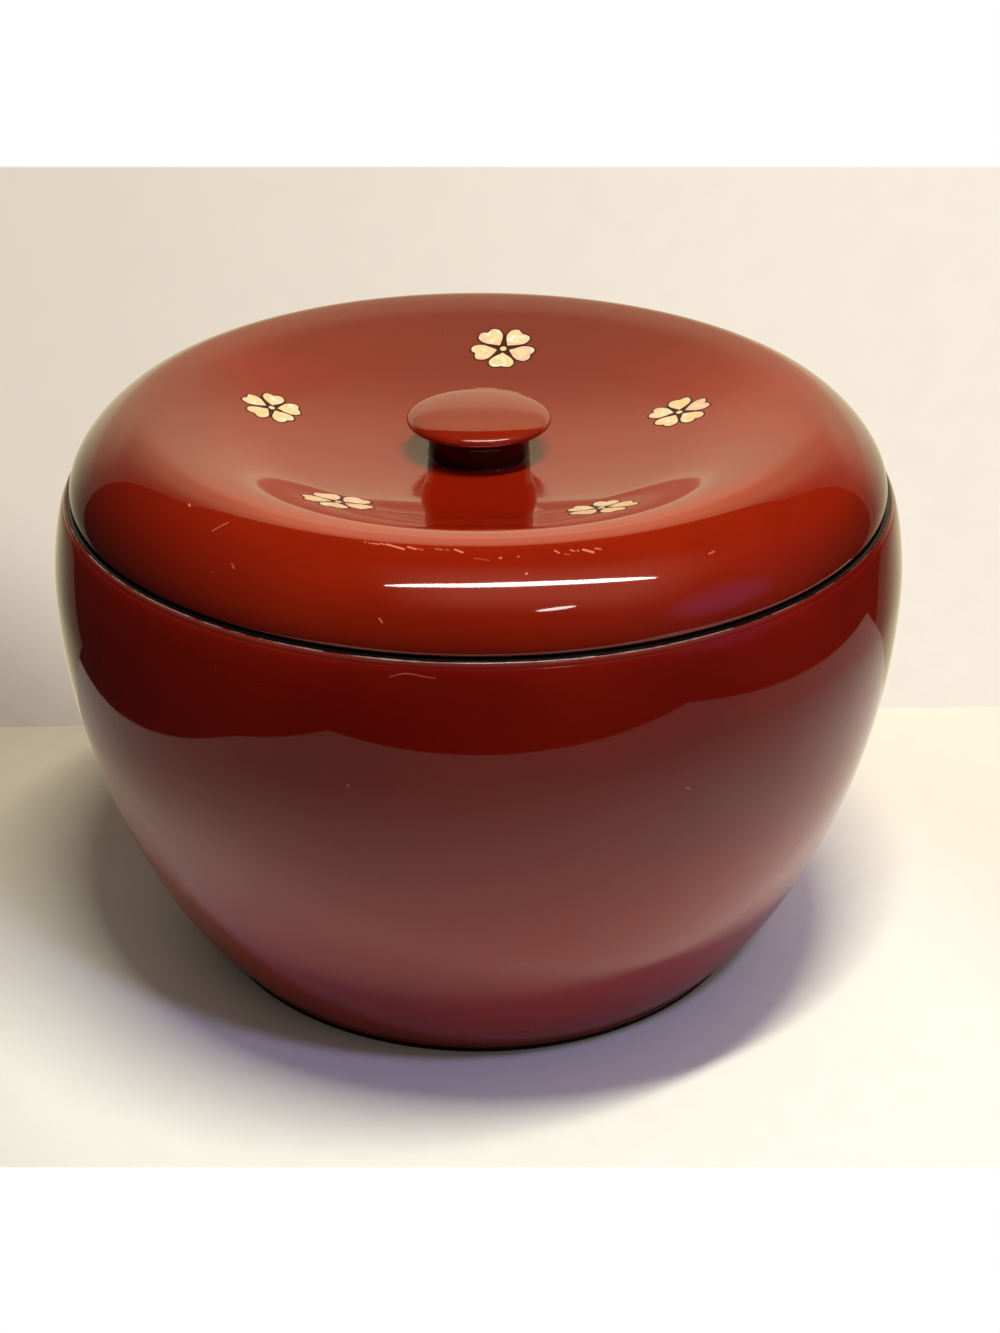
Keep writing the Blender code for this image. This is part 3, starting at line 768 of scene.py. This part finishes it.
def wallTint(w, x, y, z):
    v, soft = wallSheet, stage["border"]
    # painted shade: the wall is darker to the left, and darker still low at the left, where the bowl's shadow
    # falls
    colour = w.blend(w.fade(x, *v["lit"]), v["dim"], v["plain"])
    colour = w.blend(w.fade(x * v["upSkew"] + z, *v["up"]), v["shade"], colour)
    mirror = w.blend(w.fade(z, *v["toShelf"]), v["mirrorLow"], v["mirrorShelf"])
    mirror = w.blend(w.fade(z, *v["toMid"]), mirror, v["mirrorMid"])
    mirror = w.blend(w.fade(z, *v["toHigh"]), mirror, v["mirrorHigh"])
    mirror = w.blend(w.band(x, v["middle"], *v["toSide"]), mirror, v["mirrorSide"])
    level, slope = v["end"]
    return colour, mirror, v["glow"], w.fade(z - x * slope, level - soft, level + soft)


def makeStage():
    # the wall leans back and stands a little aslant
    s = stage
    tilt = math.tan(math.radians(s["lean"]))
    slope = math.tan(math.radians(s["slant"]))

    def back(x, z):
        return (x, s["back"] + x * slope + z * tilt, z)
    ground = [(s["left"], s["front"], 0), (s["right"], s["front"], 0)]
    ground += [back(s["right"], 0), back(s["left"], 0)]
    paper("floorSheet", ground, floorTint)
    high = s["wallHeight"]
    rear = [back(s["wallLeft"], 0), back(s["wallRight"], 0)]
    rear += [back(s["wallRight"], high), back(s["wallLeft"], high)]
    paper("backSheet", rear, wallTint)


# a lamp that isn't shiny lights without showing in the lacquer; one that isn't soft only shows in it
lamps = dict(
    strip=dict(
        at=(0.129, -0.302, 0.80), aim=(0.114, -0.097, 0.15), size=(0.74, 0.044), watts=1.5,
        colour=(1.0, 0.97, 0.88), soft=False),
    spot=dict(
        at=(0.384, -0.891, 1.10), aim=(0.02, -0.116, 0.163), size=(0.21, 0.055), watts=0.26,
        colour=(1.0, 0.96, 0.92), roll=2, soft=False),
    above=dict(
        at=(0.146, -0.222, 1.5), aim=(0, -0.02, 0.1), size=(0.6, 0.06), watts=19.8, colour=(0.97, 1.0, 0.83),
        shiny=False),
    side=dict(
        at=(0.403, -0.713, 1.2), aim=(0, 0, 0.1), size=(0.12, 0.12), watts=4.6, colour=(0.45, 0.48, 1.0),
        shiny=False))
# the room's light by direction: its fill, and what the lacquer mirrors of it
room = dict(
    high=(0.335, 0.315, 0.285, 1), low=(0.04, 0.036, 0.036, 1), fillX=0.75, fillZ=0.65, fill=(-0.3, 0.9),
    dark=(0.022, 0.017, 0.016, 1), seen=(1, 1, 1, 1), window=(0.09, 0.09, 0.28, 1),
    windowAt=(0.887, -0.358, 0.292), glass=(0.945, 0.995), glassShare=0.92, halo=(0.6, 0.95), haloShare=0.08,
    bloom=(0.5, 0.32, 0.22, 1), bloomLean=0.36, bloomAcross=(0.48, 0.05), bloomUp=(0.3, 0.7), bloomMiddle=0.2,
    bloomAlong=(0.6, 0.25))


def lamp(name, at, aim, size, watts, colour, roll=0, shiny=True, soft=True):
    light = bpy.data.lights.new(name, "AREA")
    light.shape = "ELLIPSE" if shiny else "RECTANGLE"
    light.size, light.size_y = size
    light.energy, light.color = watts, colour
    holder = bpy.data.objects.new(name, light)
    back = Vector(at) - Vector(aim)
    turn = back.to_track_quat("Z", "Y").to_matrix().to_4x4() @ Matrix.Rotation(math.radians(roll), 4, "Z")
    holder.matrix_world = Matrix.Translation(at) @ turn
    holder.visible_camera, holder.visible_glossy, holder.visible_diffuse = False, shiny, soft
    bpy.context.collection.objects.link(holder)


def makeLight():
    for name, settings in lamps.items():
        lamp(name + "Lamp", **settings)
    world = bpy.data.worlds.new("room")
    bpy.context.scene.world = world
    world.use_nodes = True
    w = Wiring(world.node_tree)
    shiny = w.node("LightPath", {}, {}, "Is Glossy Ray")
    seen = w.node("LightPath", {}, {}, "Is Camera Ray")
    toward = w.node("TexCoord", {}, {}, "Generated")
    x, y, z = w.parts(toward)[:3]
    fill = w.fade(x * room["fillX"] + z * room["fillZ"], *room["fill"])
    fill = w.blend(fill, room["low"], room["high"])
    near = w.vector("DOT_PRODUCT", toward, room["windowAt"], out=1)
    glass = w.fade(near, *room["glass"]) * room["glassShare"]
    glass = glass + w.fade(near, *room["halo"]) * room["haloShare"]
    # a faint bloom round the long lamp
    bloom = w.band(y + z * room["bloomLean"], 0, *room["bloomAcross"]) * w.fade(z, *room["bloomUp"])
    bloom = bloom * w.band(x, room["bloomMiddle"], *room["bloomAlong"])
    mirrored = w.blend(bloom, w.blend(glass, room["dark"], room["window"]), room["bloom"])
    colour = w.blend(shiny, fill, mirrored)
    colour = w.blend(seen, colour, room["seen"])
    w.node("OutputWorld", {}, {0: w.node("Background", {}, {0: colour, 1: 1.0})})


# down is in degrees, yaw and roll are in radians, focal is the focal length in pixels of a frame that high
view = dict(
    at=(0, -0.6176, 0.4115), down=27.93, yaw=0.0106, roll=0.003, focal=2200, frameHigh=1333, sensor=36,
    nearest=0.01)


def makeCamera():
    # looks down and a hair to the right; right, up and back are the columns of its turn
    p, q, r = math.radians(view["down"]), view["yaw"], view["roll"]
    ahead = Vector((math.sin(q) * math.cos(p), math.cos(q) * math.cos(p), -math.sin(p)))
    right = Vector((math.cos(q), -math.sin(q), 0))
    up = right.cross(ahead)
    right, up = right * math.cos(r) + up * math.sin(r), up * math.cos(r) - right * math.sin(r)
    data = bpy.data.cameras.new("camera")
    data.lens = view["focal"] / view["frameHigh"] * view["sensor"]
    data.sensor_width, data.clip_start = view["sensor"], view["nearest"]
    camera = bpy.data.objects.new("camera", data)
    turn = Matrix((right, up, -ahead)).transposed().to_4x4()
    camera.matrix_world = Matrix.Translation(view["at"]) @ turn
    bpy.context.collection.objects.link(camera)
    bpy.context.scene.camera = camera


makeStage()
makeLight()
makeCamera()
bpy.context.scene.view_settings.view_transform = "Standard"
print("stage, lamps and camera set")

bpy.context.view_layer.update()
